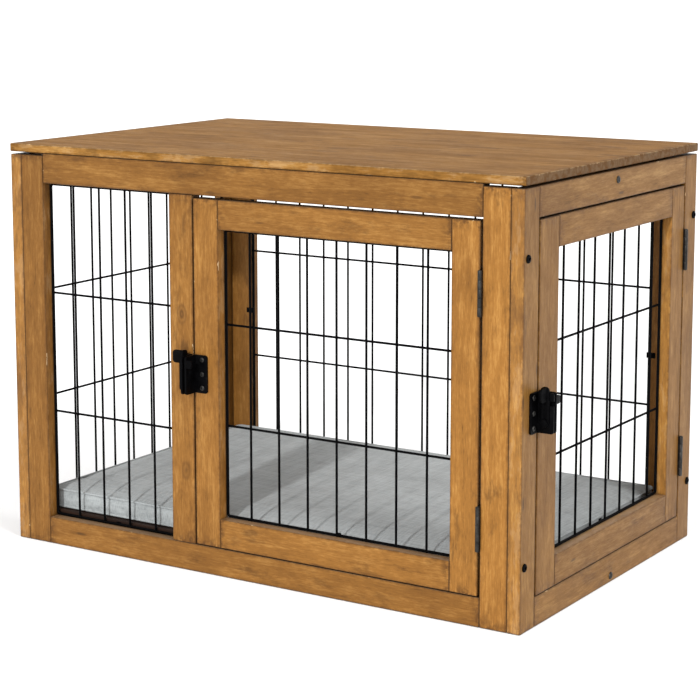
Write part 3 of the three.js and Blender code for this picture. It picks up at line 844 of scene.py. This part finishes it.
def make_cushion(material):
    cad_low, cad_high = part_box("cushion")
    centre = (cad_low + cad_high) / 2
    swell = 4 * MM
    half_x = (cad_high.x - cad_low.x) / 2 - swell
    half_y = (cad_high.y - cad_low.y) / 2 - swell
    low = cad_low.z
    seam = cad_high.z - SEAM_DROP
    bm, upper, lower = cushion_shell(half_x, half_y, low, seam)
    mesh = bpy.data.meshes.new("cushion_cover")
    bm.to_mesh(mesh)
    bm.free()
    piece = bpy.data.objects.new("cushion_cover", mesh)
    bpy.context.collection.objects.link(piece)
    fill_cushion(piece, upper + lower)
    crown(piece, half_x, half_y, low, seam, SEAM_DROP)
    seams = {
        "cushion_upper_piping": [mesh.vertices[index].co.copy() for index in upper],
        "cushion_lower_piping": [mesh.vertices[index].co.copy() for index in lower],
    }
    shift = Matrix.Translation((centre.x, centre.y, 0))
    mesh.transform(shift)
    mesh.materials.append(material)
    mesh.shade_smooth()
    smooth = piece.modifiers.new("smooth", "SUBSURF")
    smooth.levels = smooth.render_levels = 1
    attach(piece, CABINET)
    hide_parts("cushion")
    for name, points in seams.items():
        lift = PIPING_RADIUS if name == "cushion_lower_piping" else 0.0
        placed = [shift @ (point + Vector((0, 0, lift))) for point in points]
        piping(name, placed, material)


# ---------------------------------------------------------------- timber
# tone, green: strength and hue of the stain, in the side and top slots lowered as painted shade;
# flank, cast: painted light on narrow faces; streak: how far blotches stretch along the grain;
# scuff: wear on narrow faces; rubbed: wear and painted highlight on upper edges
WOOD_SLOTS = {
    "front_pine": {
        "tone": 0.90, "green": 1.0, "flank_light": 0.95, "flank_light_tint": (1.0, 0.98, 0.96),
        "specular": 0.16, "rough": 0.62, "streak": 0.8, "scuff": 0.2, "rubbed_and_highlight": 0.0,
    },
    "side_pine": {
        "tone": 0.65, "green": 1.05, "flank_light": 1.72, "flank_light_tint": (1.0, 0.98, 0.96),
        "specular": 0.26, "rough": 0.60, "streak": 0.6, "scuff": 0.2, "rubbed_and_highlight": 0.0,
    },
    "top_pine": {
        "tone": 0.79, "green": 1.05, "flank_light": 1.30, "flank_light_tint": (0.96, 1.0, 1.30),
        "specular": 0.04, "rough": 0.66, "streak": 0.2, "scuff": 0.28, "rubbed_and_highlight": 0.5,
    },
}

# Brightness of the front boards: their own stain, with a painted falloff of light from right to left.
# The other boards vary a little about their slot's tone.
BOARD_TONES = {
    "front_left_stile": 0.76, "front_middle_stile": 0.87, "front_right_stile": 1.04,
    "front_top_rail": 0.74, "front_bottom_rail": 0.80, "front_door_hinge_stile": 1.02,
    "front_door_latch_stile": 0.90, "front_door_top_rail": 0.84, "front_door_bottom_rail": 0.90,
}


def finish_timber():
    """Gives every board its own cut of pine, with the grain along its length."""
    draw = random.Random(11)
    for entry in frame["record"]["subparts"]:
        look = WOOD_SLOTS.get(entry["material_slot"])
        if look is None:
            continue
        node = entry["node"]
        board = frame["nodes"][node]
        tone = BOARD_TONES.get(node, draw.uniform(0.95, 1.05) * look["tone"])
        seed = draw.randrange(10000)
        set_material(board, pine(node + "_pine", board, seed, tone, look))


# ---------------------------------------------------------------- studio
def add_camera():
    data = bpy.data.cameras.new("camera")
    data.sensor_width = 36
    data.lens = 105.19
    data.shift_y = -0.12
    camera = bpy.data.objects.new("camera", data)
    bpy.context.collection.objects.link(camera)
    tilt_down, turn = 8.70, 32.42
    camera.location = (1.7185, -2.7183, 0.9357)
    camera.rotation_euler = (math.radians(90 - tilt_down), 0, math.radians(turn))
    bpy.context.scene.camera = camera


def sun_light(name, azimuth, elevation, angle, strength):
    """A distant lamp. Azimuth 0 stands in front of the crate and 90 on its right."""
    data = bpy.data.lights.new(name, "SUN")
    data.angle = math.radians(angle)
    data.energy = strength
    light = bpy.data.objects.new(name, data)
    bpy.context.collection.objects.link(light)
    turn, lift = math.radians(azimuth), math.radians(elevation)
    away = Vector((math.sin(turn) * math.cos(lift), -math.cos(turn) * math.cos(lift), math.sin(lift)))
    light.rotation_euler = away.to_track_quat("Z", "Y").to_euler()


def add_studio():
    shader = Shader("studio_floor")
    tint = shader.noise(shader.place(), 1.3, 2)
    colour = shader.ramp(tint, ((0.2, (0.93, 0.93, 0.93)), (0.8, (0.95, 0.95, 0.95))))
    shader.plug(shader.surface, Base_Color=colour, Roughness=0.9)
    shader.surface.inputs["Specular IOR Level"].default_value = 0.1
    bpy.ops.mesh.primitive_plane_add(size=400, location=(0, 0, -0.0005))
    floor = bpy.context.object
    floor.name = "studio_floor"
    set_material(floor, shader.material)

    world = bpy.data.worlds.new("studio")
    bpy.context.scene.world = world
    world.use_nodes = True
    world.node_tree.nodes["Background"].inputs["Color"].default_value = (1, 1, 1, 1)
    world.node_tree.nodes["Background"].inputs["Strength"].default_value = 1.0

    sun_light("key", 7, 22, 3.5, 2.0)
    sun_light("side_fill", 78, 35, 24, 1.7)
    bpy.context.scene.view_settings.view_transform = "Standard"


# ---------------------------------------------------------------- the crate
finish_timber()
set_material(frame["nodes"]["floor_board"], dark_board())
wire_coat = powder_coat("wire_coat", 0.50, 0.006)
latch_coat = powder_coat("latch_coat", 0.40, 0.010)
hinge_steel = dark_steel("blackened_steel", 0.6)
screw_steel = dark_steel("screw_steel", 0.8)
for grid in GRIDS:
    grid_clips(grid, grid_piece(grid, wire_coat), latch_coat)
corner_bolts(latch_coat)
support_screws(screw_steel)
latches(latch_coat, hinge_steel)
hinges(hinge_steel)
make_cushion(linen("cushion_linen"))
add_camera()
add_studio()
